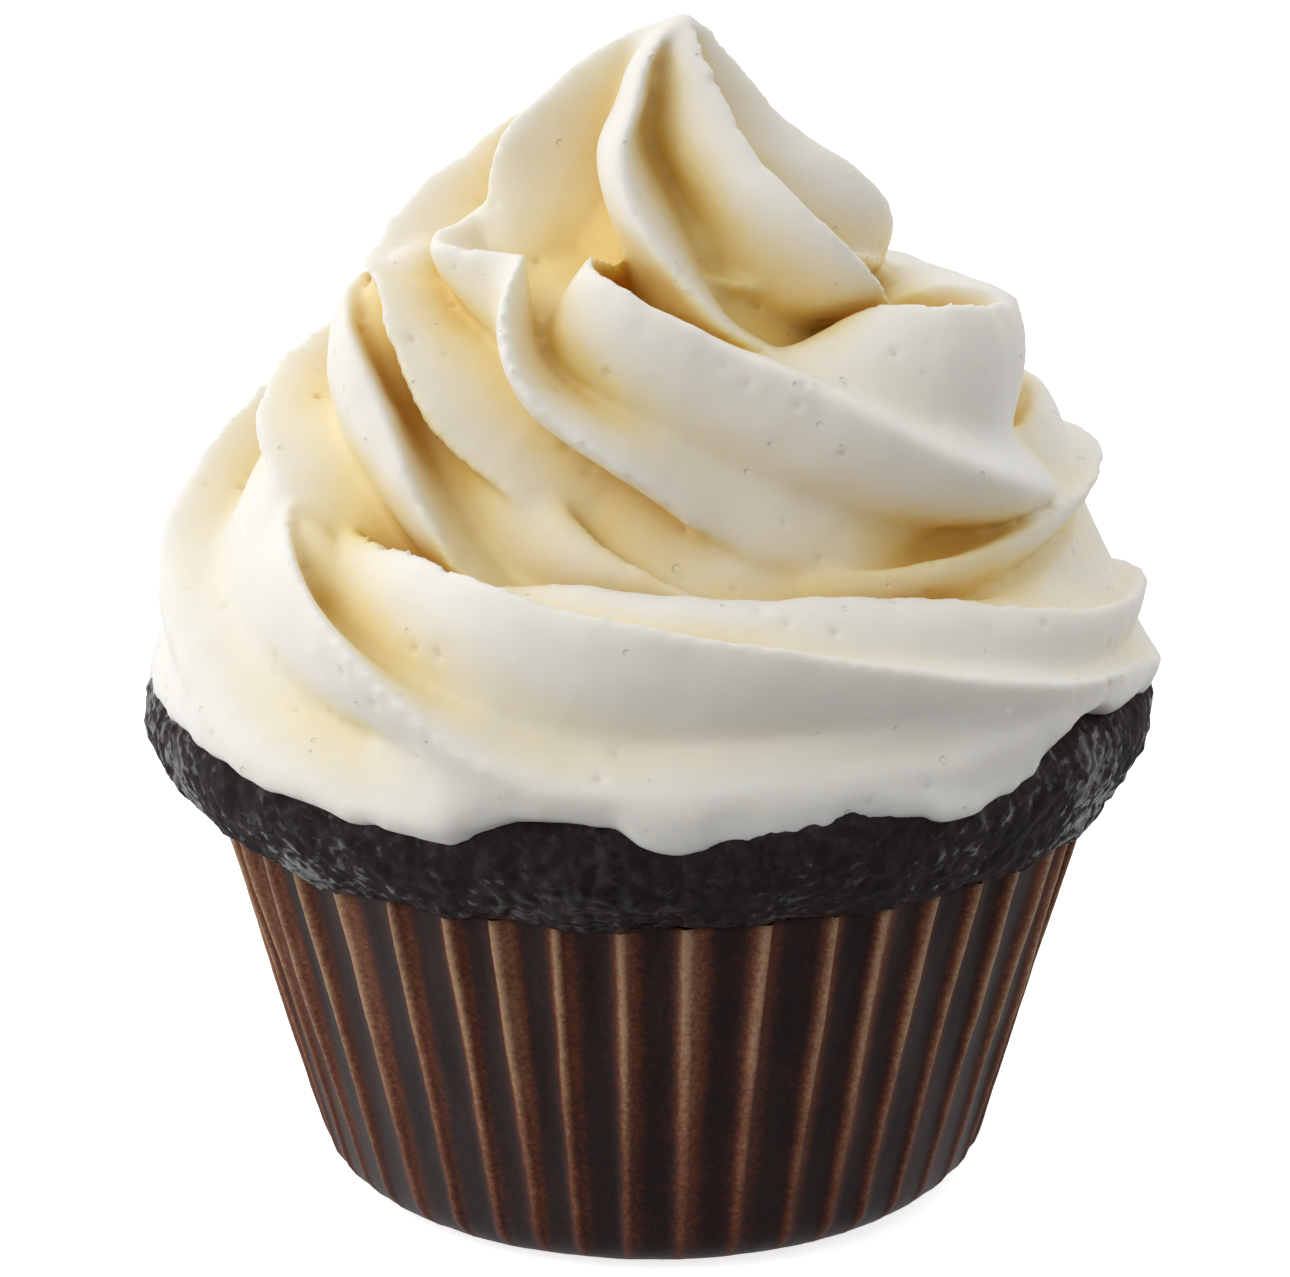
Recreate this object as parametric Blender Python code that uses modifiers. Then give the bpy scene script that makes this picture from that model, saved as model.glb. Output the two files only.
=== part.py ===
"""Cupcake: a chocolate cake in a pleated paper case, under a piped buttercream swirl.

The frame has +Z up and its origin at the middle of the case's flat base. The front
of the cupcake faces -Y. Sizes are in metres. Each piece is one closed solid, and
pieces that touch keep a small gap.
"""
import math

import bmesh
import bpy
import numpy as np

MM = 0.001
GAP = 0.3 * MM                      # between pieces that touch

# Paper case: a fluted cup with a flat base, the common 50 mm by 32 mm muffin case.
CASE_FOOT_RADIUS = 24.4 * MM        # the wall's plain cone carried down to the table
CASE_TOP_RADIUS = 32.6 * MM
CASE_HEIGHT = 30.2 * MM
CASE_CORNER = 4.8 * MM              # rounding between the base and the wall
CASE_THICKNESS = 0.4 * MM
PLEATS = 45
PLEAT_DEPTH_TOP = 0.9 * MM          # how far a pleat stands out at the rim
PLEAT_DEPTH_FOOT = 0.2 * MM
FIRST_PLEAT = math.radians(29.2)    # angle of the first pleat's fold, from +X
PLEAT_WANDER = 0.28                 # uneven spacing, as a share of one pleat
PLEAT_HALF_WIDTH = 0.26             # from the fold to its foot, as a share of a pleat

# Cake: a tapered body inside the case, and a crown that has risen over its rim.
CROWN_RADIUS = 38.2 * MM
CROWN_RIM_HEIGHT = 37.8 * MM        # where the crown is widest
CROWN_SHIFT = -0.6 * MM             # the crown leans a little to one side, along X
DOME_HEIGHT = 45.0 * MM
CROWN_UNEVEN = 0.30 * MM
CAKE_STEPS = 60

# Buttercream: a rope from a star nozzle, laid clockwise in rising, closing turns.
STAR_TEETH = 6
STAR_POINT = 1.3                    # lower is a sharper ridge
RIDGE_LEAN = 0.30                   # radians that a ridge folds over
ROPE_START = math.radians(20.0)     # where the rope's first turn is counted from, from +X
# Stations along the rope: turns, then in millimetres the path's radius, its height and
# the rope's radius, then how much taller than wide the rope stands, and last how deep
# its grooves are as a share of its radius.
ROPE_PATH = (
    (-0.25, 29.5, 44.0, 6.0, 1.00, 0.30),
    (0.00, 28.5, 44.2, 9.0, 1.10, 0.22),
    (0.125, 31.4, 44.6, 6.7, 0.76, 0.30),
    (0.25, 32.1, 45.7, 5.9, 1.45, 0.45),
    (0.375, 32.3, 44.8, 9.1, 1.22, 0.55),
    (0.50, 30.0, 45.5, 8.0, 1.37, 0.50),
    (0.75, 28.4, 49.3, 10.3, 1.29, 0.45),
    (1.00, 26.9, 55.4, 8.5, 0.51, 0.28),
    (1.25, 19.8, 46.5, 8.0, 0.85, 0.45),
    (1.375, 18.8, 49.8, 8.6, 0.95, 0.52),
    (1.50, 18.1, 58.1, 12.2, 0.97, 0.50),
    (1.625, 17.0, 56.7, 11.2, 1.15, 0.52),
    (1.75, 17.3, 58.0, 11.8, 1.04, 0.50),
    (2.00, 20.4, 60.2, 9.9, 0.90, 0.56),
    (2.125, 22.2, 59.0, 8.7, 1.30, 0.42),
    (2.25, 17.3, 62.3, 7.2, 1.39, 0.52),
    (2.375, 14.9, 64.9, 9.6, 1.07, 0.75),
    (2.50, 9.8, 68.6, 12.7, 0.51, 0.55),
    (2.75, 9.5, 71.0, 11.1, 1.01, 0.50),
    (3.00, 10.4, 70.1, 7.5, 0.75, 0.40),
    (3.15, 6.0, 71.0, 6.0, 0.80, 0.40),
    (3.30, 2.0, 71.0, 4.0, 0.80, 0.40),
)
# Degrees that each ridge stands off its even place round the rope.
RIDGE_OFFSETS = (-3.0, 0.0, 0.0, 2.0, -3.0, 4.0)
# Where a ridge is dragged round the rope: ridge, turn, over how many turns, degrees.
RIDGE_BENDS = (
    (4, 0.330, 0.040, -19.8),
    (4, 0.500, 0.100, 47.5),
    (5, 0.430, 0.070, 14.6),
    (3, 1.510, 0.060, -3.0),
    (4, 1.460, 0.040, 5.5),
    (4, 1.370, 0.040, -2.7),
    (0, 0.230, 0.085, 41.1),
    (0, 2.060, 0.100, 35.6),
    (0, 2.260, 0.100, 93.3),
    (1, 2.000, 0.120, 85.0),
    (5, 2.440, 0.050, 35.0),
    (4, 2.240, 0.060, -19.1),
    (4, 2.410, 0.035, 43.9),
    (3, 2.450, 0.060, 22.3),
)
# The first turn is pressed on the crown: its lower grooves fill and its foot spreads.
PRESSED_FILL = 0.85
PRESSED_SIDE = 0.4                  # share of that on the rope's side
PRESSED_RATE = 3.0                  # how fast it grows from the side to the underside
PRESSED_TURNS = (0.95, 0.3)         # the turn by which that ends, and over how many
REST_HEIGHT = 39.5                  # mm
REST_SQUASH = 0.35                  # what is left of any depth below that height
# Where the hem on the crown hangs or lifts: turn, over how many turns, millimetres.
HEM_WAVES = (
    (0.145, 0.018, 3.4),
    (0.205, 0.030, -1.5),
    (0.338, 0.016, 1.5),
    (0.368, 0.022, -0.7),
    (0.470, 0.045, 1.2),
    (0.600, 0.030, -1.2),
    (0.690, 0.030, 0.9),
    (0.800, 0.040, -1.0),
    (0.900, 0.030, 0.9),
)
# A thin lip that hangs from the hem at the front, with steep ends: turn, reach, drop.
HEM_LIP = (0.282, 0.033, -1.4)
DROP_SPREAD = 0.5                   # how far a drooping hem stands out, per mm of drop
FOOT_TOP = 43.2                     # mm, where the foot starts to spread
FOOT_SPREAD = 2.6                   # mm
FOOT_TIGHT = (0.34, 0.11)           # the turn about which it isn't spread, and how far round
# The pulled-up peak: height, its radius on the ridges, how far it stands off the axis
# along X, how far its ridges are twisted in degrees, and its groove depth share.
PEAK_PATH = (
    (64.5, 13.5, 3.0, 46.0, 0.40),
    (66.5, 15.5, 3.1, 36.0, 0.45),
    (69.0, 16.4, 3.2, 18.0, 0.52),
    (71.8, 16.3, 3.2, 8.0, 0.58),
    (74.8, 15.5, 2.7, 0.0, 0.64),
    (77.9, 13.7, 1.3, -4.0, 0.70),
    (80.9, 11.0, -0.3, -2.0, 0.74),
    (84.0, 8.0, -0.1, 0.0, 0.74),
    (87.0, 4.8, 0.5, 0.0, 0.60),
    (88.5, 2.6, 1.5, 0.0, 0.35),
    (89.5, 0.4, 2.4, 0.0, 0.20),
)
PEAK_RIDGES = (15.0, 75.0, 130.0, 190.0, 262.0, 316.0)
ROPE_RINGS = 480
ROPE_SIDES = 96
PEAK_RINGS = 60
SQUEEZED_RINGS = 30
# Buttercream squeezed up between two turns: turn, path radius, height, its own radius
# in millimetres.
SQUEEZED_PATHS = (
    ((1.42, 18.5, 54.5, 2.5), (1.45, 18.8, 58.0, 3.4), (1.48, 18.9, 62.0, 3.7),
     (1.51, 18.6, 66.0, 3.6), (1.54, 18.0, 69.0, 3.0), (1.57, 16.5, 71.0, 1.5)),
    ((0.42, 29.5, 49.5, 1.5), (0.45, 30.0, 51.5, 2.6), (0.48, 29.6, 53.2, 2.8),
     (0.51, 28.6, 54.5, 2.4), (0.54, 27.0, 55.5, 1.5)),
)
# Buttercream that fills the middle of the turns: radius and height, in millimetres.
CORE_PROFILE = ((0.0, 37.8), (28.5, 37.8), (26.8, 44.0), (24.0, 50.0), (20.6, 55.0),
                (17.4, 60.0), (15.2, 64.5), (11.0, 69.0), (6.5, 73.0), (0.0, 80.0))
VOXEL = 0.6 * MM
SWIRL_KEEP = 0.030                  # share of the fine mesh's faces that is kept


def clear_scene():
    """Remove whatever the startup file holds."""
    for thing in list(bpy.data.objects):
        bpy.data.objects.remove(thing)


def new_collection(name):
    """Make a collection and put it in the scene."""
    collection = bpy.data.collections.new(name)
    bpy.context.scene.collection.children.link(collection)
    return collection


def make_material(name, colour, roughness, subsurface=0.0):
    """Make a plain Principled material in a linear colour."""
    material = bpy.data.materials.new(name)
    material.use_nodes = True
    shader = material.node_tree.nodes["Principled BSDF"]
    shader.inputs["Base Color"].default_value = (*colour, 1.0)
    shader.inputs["Roughness"].default_value = roughness
    shader.inputs["Metallic"].default_value = 0.0
    shader.inputs["Subsurface Weight"].default_value = subsurface
    return material


def add_object(name, mesh, collection, material=None):
    """Put a mesh in a collection, shaded smooth between its sharp edges."""
    thing = bpy.data.objects.new(name, mesh)
    collection.objects.link(thing)
    if material:
        mesh.materials.append(material)
    mesh.shade_smooth()
    mesh.set_sharp_from_angle(angle=math.radians(40.0))
    return thing


def turned_bmesh(profile, steps):
    """Turn a profile of (radius, height) points, low to high, round the Z axis."""
    turned = bmesh.new()
    points = [turned.verts.new((radius, 0.0, height)) for radius, height in profile]
    edges = [turned.edges.new(pair) for pair in zip(points, points[1:])]
    bmesh.ops.spin(
        turned, geom=points + edges, cent=(0, 0, 0), axis=(0, 0, 1),
        angle=math.tau, steps=steps, use_merge=True)
    bmesh.ops.remove_doubles(turned, verts=turned.verts, dist=0.01 * MM)
    bmesh.ops.recalc_face_normals(turned, faces=turned.faces)
    return turned


def mesh_from(turned, name):
    """Turn a bmesh into a mesh and free it."""
    mesh = bpy.data.meshes.new(name)
    turned.to_mesh(mesh)
    turned.free()
    return mesh


# ---------------------------------------------------------------- paper case

def wall_radius(height):
    """Radius of the case's plain cone, between the pleats, at a height."""
    share = height / CASE_HEIGHT
    return CASE_FOOT_RADIUS + (CASE_TOP_RADIUS - CASE_FOOT_RADIUS) * share


def corner_profile(inset, foot):
    """Arc from the flat base up into the sloping wall, drawn in by an inset."""
    lean = math.atan2(CASE_TOP_RADIUS - CASE_FOOT_RADIUS, CASE_HEIGHT)
    reach = CASE_CORNER - inset
    middle_height = foot + reach
    middle_radius = wall_radius(CASE_CORNER) - CASE_CORNER / math.cos(lean)
    points = []
    for share in (0.0, 0.5, 1.0):
        angle = share * (math.pi / 2 - lean)
        points.append((middle_radius + reach * math.sin(angle),
                       middle_height - reach * math.cos(angle)))
    return points


def pleat_place(number):
    """Angle of a pleat's fold: nearly even, as pressed paper is."""
    wander = PLEAT_WANDER * math.sin(0.7 * number) * math.cos(0.3 * number)
    return FIRST_PLEAT + math.tau * (number + wander) / PLEATS


def pleat_columns():
    """Angles round the wall, each with how far it stands out: a fold and its two feet."""
    columns = []
    for number in range(PLEATS):
        fold = pleat_place(number)
        pitch = pleat_place(number + 1) - fold
        columns += [(fold, 1.0), (fold + PLEAT_HALF_WIDTH * pitch, 0.0),
                    (fold + (1.0 - PLEAT_HALF_WIDTH) * pitch, 0.0)]
    return columns


def case_mesh():
    """Fluted cup as an open surface: the columns follow the pleats."""
    columns = pleat_columns()
    rows = [(radius, height, share * PLEAT_DEPTH_FOOT)
            for (radius, height), share in zip(corner_profile(0.0, 0.0), (0.0, 0.5, 1.0))]
    for share in (0.5, 1.0):
        depth = PLEAT_DEPTH_FOOT + (PLEAT_DEPTH_TOP - PLEAT_DEPTH_FOOT) * share
        rows.append((wall_radius(CASE_HEIGHT * share), CASE_HEIGHT * share, depth))
    cup = bmesh.new()
    rings = []
    for radius, height, depth in rows:
        ring = []
        for angle, out in columns:
            reach = radius + depth * out
            ring.append(cup.verts.new((reach * math.cos(angle), reach * math.sin(angle), height)))
        rings.append(ring)
    count = len(columns)
    cup.faces.new(list(reversed(rings[0])))
    for low, high in zip(rings, rings[1:]):
        for i in range(count):
            j = (i + 1) % count
            cup.faces.new((low[i], low[j], high[j], high[i]))
    return mesh_from(cup, "paper_case")


def build_case(collection):
    """The case: its outside surface, thickened inwards to one sheet."""
    paper = make_material("brown_greaseproof_paper", (0.055, 0.026, 0.018), 0.55)
    case = add_object("paper_case", case_mesh(), collection, paper)
    sheet = case.modifiers.new("sheet", "SOLIDIFY")
    sheet.thickness = CASE_THICKNESS
    sheet.offset = -1.0
    sheet.use_even_offset = True
    return case


# ---------------------------------------------------------------------- cake

def crown_profile(grow=0.0):
    """Crown from its lip on the paper's rim, round the widest ring, to the dome's top."""
    lip = CASE_HEIGHT + GAP
    points = [
        (CASE_TOP_RADIUS + PLEAT_DEPTH_TOP, lip),
        (0.912 * CROWN_RADIUS, lip + 0.9 * MM),
        (0.957 * CROWN_RADIUS, lip + 2.7 * MM),
        (0.990 * CROWN_RADIUS, lip + 5.0 * MM),
        (CROWN_RADIUS, CROWN_RIM_HEIGHT),
        (0.985 * CROWN_RADIUS, CROWN_RIM_HEIGHT + 2.0 * MM),
        (0.93 * CROWN_RADIUS, CROWN_RIM_HEIGHT + 3.4 * MM),
        (0.76 * CROWN_RADIUS, DOME_HEIGHT - 2.2 * MM),
        (0.40 * CROWN_RADIUS, DOME_HEIGHT - 0.5 * MM),
        (0.0, DOME_HEIGHT),
    ]
    if grow:
        points = [(radius + grow if radius else 0.0, height + grow) for radius, height in points]
    return points


def cake_profile():
    """Whole cake, from the middle of its foot to the top of its dome."""
    inset = CASE_THICKNESS + GAP + 0.1 * MM
    corner = corner_profile(inset, CASE_THICKNESS + GAP)
    lip = (wall_radius(CASE_HEIGHT) - inset, CASE_HEIGHT + GAP)
    return [(0.0, CASE_THICKNESS + GAP)] + corner + [lip] + crown_profile()


def make_uneven(turned, lowest):
    """Let the crown swell and sink a little on its way round, as a baked one does."""
    for vertex in turned.verts:
        radius = math.hypot(vertex.co.x, vertex.co.y)
        if vertex.co.z < lowest or radius < 0.01 * MM:
            continue
        angle = math.atan2(vertex.co.y, vertex.co.x)
        swell = CROWN_UNEVEN * (math.sin(3 * angle + 0.6) + 0.6 * math.sin(5 * angle + 2.0))
        share = radius / CROWN_RADIUS
        rise = min(1.0, (vertex.co.z - lowest) / (3.0 * MM))
        vertex.co.x += rise * (CROWN_SHIFT + swell * share * math.cos(angle))
        vertex.co.y += rise * swell * share * math.sin(angle)


def build_cake(collection):
    """The cake: a turned body with a slightly uneven crown."""
    turned = turned_bmesh(cake_profile(), CAKE_STEPS)
    make_uneven(turned, CASE_HEIGHT + 1.1 * GAP)
    sponge = make_material("chocolate_sponge", (0.016, 0.010, 0.009), 0.7)
    return add_object("cake", mesh_from(turned, "cake"), collection, sponge)


# --------------------------------------------------------------- buttercream

def smooth_between(turns, stations, values):
    """Hermite curve through a value given at each station."""
    slopes = np.gradient(values, stations)
    left = np.clip(np.searchsorted(stations, turns) - 1, 0, len(stations) - 2)
    span = stations[left + 1] - stations[left]
    s = (turns - stations[left]) / span
    return ((2 * s**3 - 3 * s**2 + 1) * values[left]
            + (s**3 - 2 * s**2 + s) * span * slopes[left]
            + (3 * s**2 - 2 * s**3) * values[left + 1]
            + (s**3 - s**2) * span * slopes[left + 1])


def ridge_places(turns):
    """Angle of each ridge round the rope: one twist a turn, with its own wander."""
    places = []
    for number, offset in enumerate(RIDGE_OFFSETS):
        place = math.tau * (turns + number / STAR_TEETH) + math.radians(offset)
        for ridge, turn, reach, degrees in RIDGE_BENDS:
            if ridge == number:
                place = place + math.radians(degrees) * np.exp(-((turns - turn) / reach)**2)
        places.append(place)
    places.append(places[0] + math.tau)
    return places


def star_height(around, places):
    """How near each point of a ring is to a ridge: 1 on a ridge, 0 in a groove."""
    height = np.zeros((len(places[0]), len(around)))
    for number in range(STAR_TEETH):
        first = places[number][:, None]
        width = places[number + 1][:, None] - first
        share = np.mod(around[None] - first, math.tau) / width
        rise = 1.0 - np.abs(np.sin(math.pi * np.clip(share, 0.0, 1.0)))**STAR_POINT
        height = np.where(share <= 1.0, rise, height)
    return height


def press_down(rings, turns, first):
    """Squash the rope on the crown down to its uneven hem, and spread its foot."""
    wave = sum(rise * np.exp(-((turns - turn) / reach)**2) for turn, reach, rise in HEM_WAVES)
    wave += HEM_LIP[2] * np.exp(-((turns - HEM_LIP[0]) / HEM_LIP[1])**8)
    hem = REST_HEIGHT + np.maximum(wave, 0.0)
    below = np.maximum(hem[:, None] - rings[..., 2], 0.0)
    rings[..., 2] += (1.0 - REST_SQUASH) * below
    foot = np.clip((FOOT_TOP - rings[..., 2]) / (FOOT_TOP - REST_HEIGHT), 0.0, 1.0)
    side = first[:, 0] * (1.0 - np.exp(-((turns - FOOT_TIGHT[0]) / FOOT_TIGHT[1])**2))
    drop = np.minimum(wave, 0.0)[:, None] * foot * np.sign(first)
    spread = FOOT_SPREAD * side[:, None] * foot - DROP_SPREAD * drop
    rings[..., :2] *= (1.0 + spread / np.hypot(rings[..., 0], rings[..., 1]))[..., None]
    rings[..., 2] += drop


def rope_rings():
    """Rings of points along the rope, and the rope's centre line.

    The nozzle is held still while it is led round, so the star stays put as the
    path turns: seen from the rope, its ridges wind once round it in every turn.
    """
    table = np.array(ROPE_PATH)
    stations = table[:, 0]
    turns = np.linspace(stations[0], stations[-1], ROPE_RINGS)
    radius, height, size, tall, depth = (
        smooth_between(turns, stations, table[:, column]) for column in (1, 2, 3, 4, 5))
    angle = ROPE_START - math.tau * turns
    centre = np.stack(
        [radius * np.cos(angle), radius * np.sin(angle), height], axis=1)
    along = np.gradient(centre, axis=0)
    along /= np.linalg.norm(along, axis=1)[:, None]
    out = np.stack([np.cos(angle), np.sin(angle), 0.0 * angle], axis=1)
    out -= (out * along).sum(axis=1)[:, None] * along
    out /= np.linalg.norm(out, axis=1)[:, None]
    up = np.cross(along, out)
    around = np.linspace(0.0, math.tau, ROPE_SIDES, endpoint=False)
    star = star_height(around, ridge_places(turns))
    first = np.clip((PRESSED_TURNS[0] - turns) / PRESSED_TURNS[1], 0.0, 1.0)[:, None]
    lower = np.clip(PRESSED_SIDE - PRESSED_RATE * np.sin(around[None]), 0.0, 1.0)
    fill = PRESSED_FILL * first * lower
    reach = size[:, None] * (1.0 - depth[:, None] * (1.0 - fill) * (1.0 - star))
    bent = around[None] + RIDGE_LEAN * (star - 1.0)
    rings = (centre[:, None]
             + (reach * np.cos(bent))[..., None] * out[:, None]
             + (reach * tall[:, None] * np.sin(bent))[..., None] * up[:, None])
    press_down(rings, turns, first)
    return rings * MM, centre * MM


def peak_rings():
    """Rings of points up the peak, where the nozzle is drawn up off the last turn."""
    table = np.array(PEAK_PATH)
    levels = np.linspace(table[0, 0], table[-1, 0], PEAK_RINGS)
    size, off, twist, depth = (
        smooth_between(levels, table[:, 0], table[:, column]) for column in (1, 2, 3, 4))
    places = [np.radians(ridge + twist) for ridge in PEAK_RIDGES]
    places.append(places[0] + math.tau)
    around = np.linspace(0.0, math.tau, ROPE_SIDES, endpoint=False)
    star = star_height(around, places)
    reach = size[:, None] * (1.0 - depth[:, None] * (1.0 - star))
    bent = around[None] + RIDGE_LEAN * (star - 1.0)
    level = np.repeat(levels[:, None], ROPE_SIDES, axis=1)
    rings = np.stack([off[:, None] + reach * np.cos(bent), reach * np.sin(bent), level], axis=2)
    ends = [(off[end], 0.0, levels[end]) for end in (0, -1)]
    return rings * MM, np.array(ends) * MM


def squeezed_rings(path):
    """Rings of points along one strand that is squeezed up between two turns."""
    table = np.array(path)
    turns = np.linspace(table[0, 0], table[-1, 0], SQUEEZED_RINGS)
    radius, height, size = (
        smooth_between(turns, table[:, 0], table[:, column]) for column in (1, 2, 3))
    angle = ROPE_START - math.tau * turns[:, None]
    around = np.linspace(0.0, math.tau, ROPE_SIDES, endpoint=False)[None]
    reach = radius[:, None] + size[:, None] * np.cos(around)
    level = height[:, None] + size[:, None] * np.sin(around)
    rings = np.stack([reach * np.cos(angle), reach * np.sin(angle), level], axis=2)
    ends = rings[[0, -1]].mean(axis=1)
    return rings * MM, ends * MM


def add_loft(body, rings, ends):
    """Loft a surface through rings and close both ends."""
    loops = [[body.verts.new(point) for point in ring] for ring in rings]
    for low, high in zip(loops, loops[1:]):
        for i in range(ROPE_SIDES):
            j = (i + 1) % ROPE_SIDES
            body.faces.new((low[i], low[j], high[j], high[i]))
    for loop, middle in ((loops[0], ends[0]), (loops[-1], ends[1])):
        tip = body.verts.new(middle)
        for i in range(ROPE_SIDES):
            body.faces.new((loop[i], loop[(i + 1) % ROPE_SIDES], tip))


def build_dome_cutter(collection):
    """The crown grown by the gap and carried far down: it shapes the swirl's underside."""
    below = [(0.0, 0.0), (2 * CROWN_RADIUS, 0.0), (2 * CROWN_RADIUS, CASE_HEIGHT)]
    turned = turned_bmesh(below + crown_profile(GAP)[1:], CAKE_STEPS)
    make_uneven(turned, CASE_HEIGHT + 1.1 * GAP)
    cutter = add_object("dome_cutter", mesh_from(turned, "dome_cutter"), collection)
    cutter.hide_render = True
    cutter.display_type = "WIRE"
    return cutter


def build_swirl(collection, cutter):
    """The swirl: turns, peak and core grown into one body, and cut by the dome."""
    rope = bmesh.new()
    rings, centre = rope_rings()
    add_loft(rope, rings, (centre[0], centre[-1]))
    add_loft(rope, *peak_rings())
    for path in SQUEEZED_PATHS:
        add_loft(rope, *squeezed_rings(path))
    core = turned_bmesh([(radius * MM, height * MM) for radius, height in CORE_PROFILE], 60)
    rope.from_mesh(mesh_from(core, "core"))
    bmesh.ops.recalc_face_normals(rope, faces=rope.faces)
    cream = make_material("vanilla_buttercream", (0.84, 0.75, 0.58), 0.5, subsurface=0.2)
    swirl = add_object("buttercream_swirl", mesh_from(rope, "swirl"), collection, cream)
    merge = swirl.modifiers.new("merge_turns", "REMESH")
    merge.mode = "VOXEL"
    merge.voxel_size = VOXEL
    settle = swirl.modifiers.new("settle", "SMOOTH")
    settle.factor = 0.5
    settle.iterations = 4
    lighten = swirl.modifiers.new("lighten", "DECIMATE")
    lighten.ratio = SWIRL_KEEP
    seat = swirl.modifiers.new("seat_on_dome", "BOOLEAN")
    seat.operation = "DIFFERENCE"
    seat.object = cutter
    return swirl


def main():
    clear_scene()
    parts = new_collection("cupcake")
    guides = new_collection("guides")
    build_case(parts)
    build_cake(parts)
    build_swirl(parts, build_dome_cutter(guides))


main()
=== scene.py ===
"""Looks of the cupcake: vanilla buttercream piped in a tall swirl on a chocolate sponge,
in a pleated case of brown greaseproof paper.

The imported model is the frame. Each piece below takes the place of one of its solids,
from the same driving sizes, with the finish and the small relief of the real thing.
Shapes are worked out in millimetres and made in metres.
"""
import math

import bmesh
import bpy
import numpy as np
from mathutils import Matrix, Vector
from mathutils.bvhtree import BVHTree
from mathutils.kdtree import KDTree


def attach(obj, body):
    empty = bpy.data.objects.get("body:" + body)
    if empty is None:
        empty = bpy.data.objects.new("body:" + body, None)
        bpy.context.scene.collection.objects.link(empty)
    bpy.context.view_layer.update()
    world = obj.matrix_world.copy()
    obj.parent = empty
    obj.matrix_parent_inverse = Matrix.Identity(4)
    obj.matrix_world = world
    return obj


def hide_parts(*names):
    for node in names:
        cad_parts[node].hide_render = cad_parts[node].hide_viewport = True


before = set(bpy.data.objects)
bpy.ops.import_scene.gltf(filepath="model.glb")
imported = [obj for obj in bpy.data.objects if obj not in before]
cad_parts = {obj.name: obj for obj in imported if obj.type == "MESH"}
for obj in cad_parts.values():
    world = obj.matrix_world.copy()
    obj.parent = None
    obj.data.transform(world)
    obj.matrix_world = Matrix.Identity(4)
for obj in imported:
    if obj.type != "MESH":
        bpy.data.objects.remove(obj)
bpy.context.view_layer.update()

MM = 0.001

# Paper case
CASE_FOOT_RADIUS = 24.4             # the wall's plain cone carried down to the table
CASE_TOP_RADIUS = 32.6
CASE_HEIGHT = 30.2
CASE_CORNER = 4.8
CASE_THICKNESS = 0.12
CASE_CORNER_RINGS = 8
CASE_WALL_RINGS = 40
PLEATS = 45
PLEAT_START = math.radians(27.2)    # where the first pleat's fold is, from +X
PLEAT_DEPTH_TOP = 0.9
PLEAT_DEPTH_FOOT = 0.2
PLEAT_FADE = 2.5                    # height by which a pleat has its full depth
PLEAT_WANDER = 0.25                 # uneven spacing, as a share of one pleat
# Columns of points across one pleat, as shares of it, from its fold to the next.
PLEAT_SHARES = (0.0, 0.05, 0.10, 0.15, 0.20, 0.26, 0.34, 0.44,
                0.56, 0.66, 0.74, 0.80, 0.85, 0.90, 0.95)
FOLD_WIDTH = 0.115                  # half of a fold, as a share of a pleat
FOLD_WIDTH_VARY = 0.03
FOLD_SWAY = 0.010                   # radians that a fold sways at the rim
FLUTE_SAG = 0.16                    # how far paper sinks between folds at the rim
# How a pleat's depth varies: share of its depth, per pleat, up the wall.
PLEAT_UNEVEN = ((0.18, 1.3, 4.0), (0.10, 2.7, -7.0))
# Brown beside a fold: on its right, how much that varies, on its left, and how wide.
SHOULDER_BROWN = 0.55
SHOULDER_VARY = 0.13
SHOULDER_LEFT = 0.16
SHOULDER_REACH = 0.33
SHOULDER_LEFT_REACH = 0.3
# Brown at the foot, as a share of that at the rim, and how fast it grows up the wall.
BROWN_FOOT = 0.45
BROWN_RISE = 0.8
# Fine relief: noise, size and depth.
CASE_RELIEF = (("CLOUDS", 5.0, 0.16), ("CLOUDS", 1.4, 0.07))

# Cake
CROWN_RADIUS = 38.2
CROWN_RIM_HEIGHT = 37.8
CROWN_SHIFT = -0.6                  # how far the crown stands off the case's axis, along X
DOME_HEIGHT = 45.0
CROWN_UNEVEN = 0.30                 # how far a full swell of the crown stands out
LIP_HEIGHT = 30.5
LIP_DROOP = 0.55                    # how far the lip hangs where it droops
# The crown's swells: strength, how many round it, shift in radians.
CROWN_SWELLS = ((1.0, 3, 0.6), (0.6, 5, 2.0))
# Sponge inside the case: where the wall's radius is taken, how far inside it, height.
CAKE_FOOT = ((1.5, 3.2, 0.8), (4.0, 1.2, 2.6), (14.0, 0.9, 14.0), (28.0, 0.9, 28.0))
CAKE_INSET = 0.6                    # the least that the sponge stands inside the wall
CAKE_SIDES = 900
CRUST_SPACING = 0.27                # between rings where the crust shows
COVERED_SPACING = 2.0               # between rings under the buttercream
CRUST_RELIEF = (("CLOUDS", 3.6, 0.70), ("VORONOI", 1.5, -0.30), ("CLOUDS", 0.7, 0.22))
CELL_CONTRAST = 1.2                 # of the relief made of cells

# Buttercream: the rope of a star nozzle, laid clockwise in rising, closing turns.
STAR_TEETH = 6
STAR_POINT = 1.3                    # lower is a sharper ridge
RIDGE_LEAN = 0.30                   # radians that a ridge folds over
ROPE_START = math.radians(20.0)     # where turns are counted from, from +X
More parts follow.
